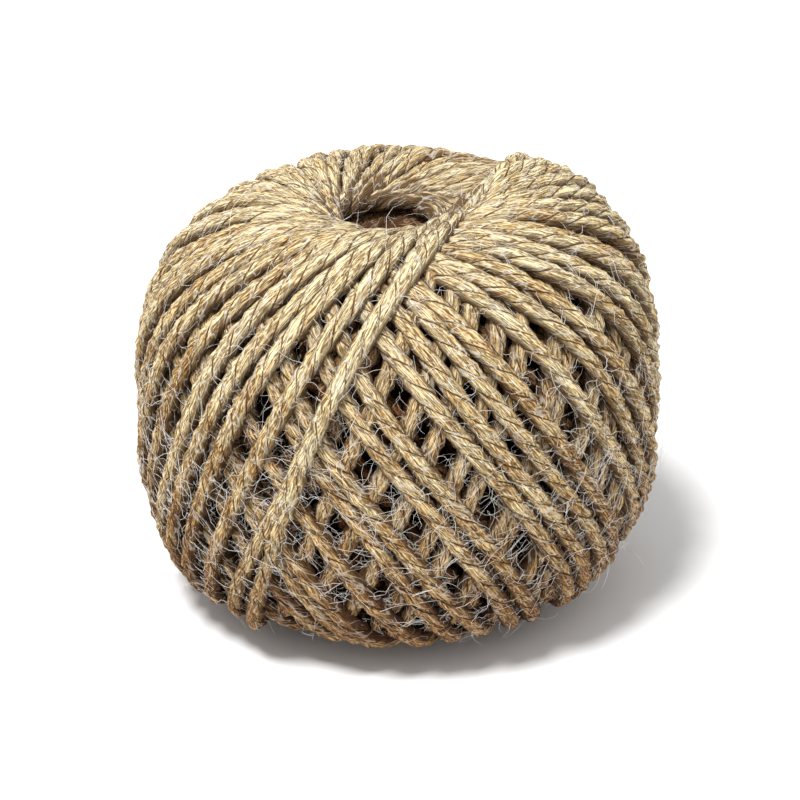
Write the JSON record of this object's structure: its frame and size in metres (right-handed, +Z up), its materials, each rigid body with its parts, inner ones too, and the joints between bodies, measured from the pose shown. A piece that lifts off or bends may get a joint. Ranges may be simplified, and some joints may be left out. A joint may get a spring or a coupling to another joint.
{
  "type": "roll of twine",
  "caption": "Cross-wound ball of natural jute twine with a hole through the middle, standing on a small flat spot.",
  "frame": {"origin": "centre of the ball's outline, on the plane it stands on", "axes": "+Z up, close to the spindle's axis; -Y towards the viewer, where the newest turn crosses the front; +X to the viewer's right"},
  "size_m": [0.0786, 0.079, 0.0643],
  "materials": {
    "twine": "matt, hairy natural jute fibre"
  },
  "bodies": {
    "root": {"twine_ball": "twine"}
  },
  "joints": []
}
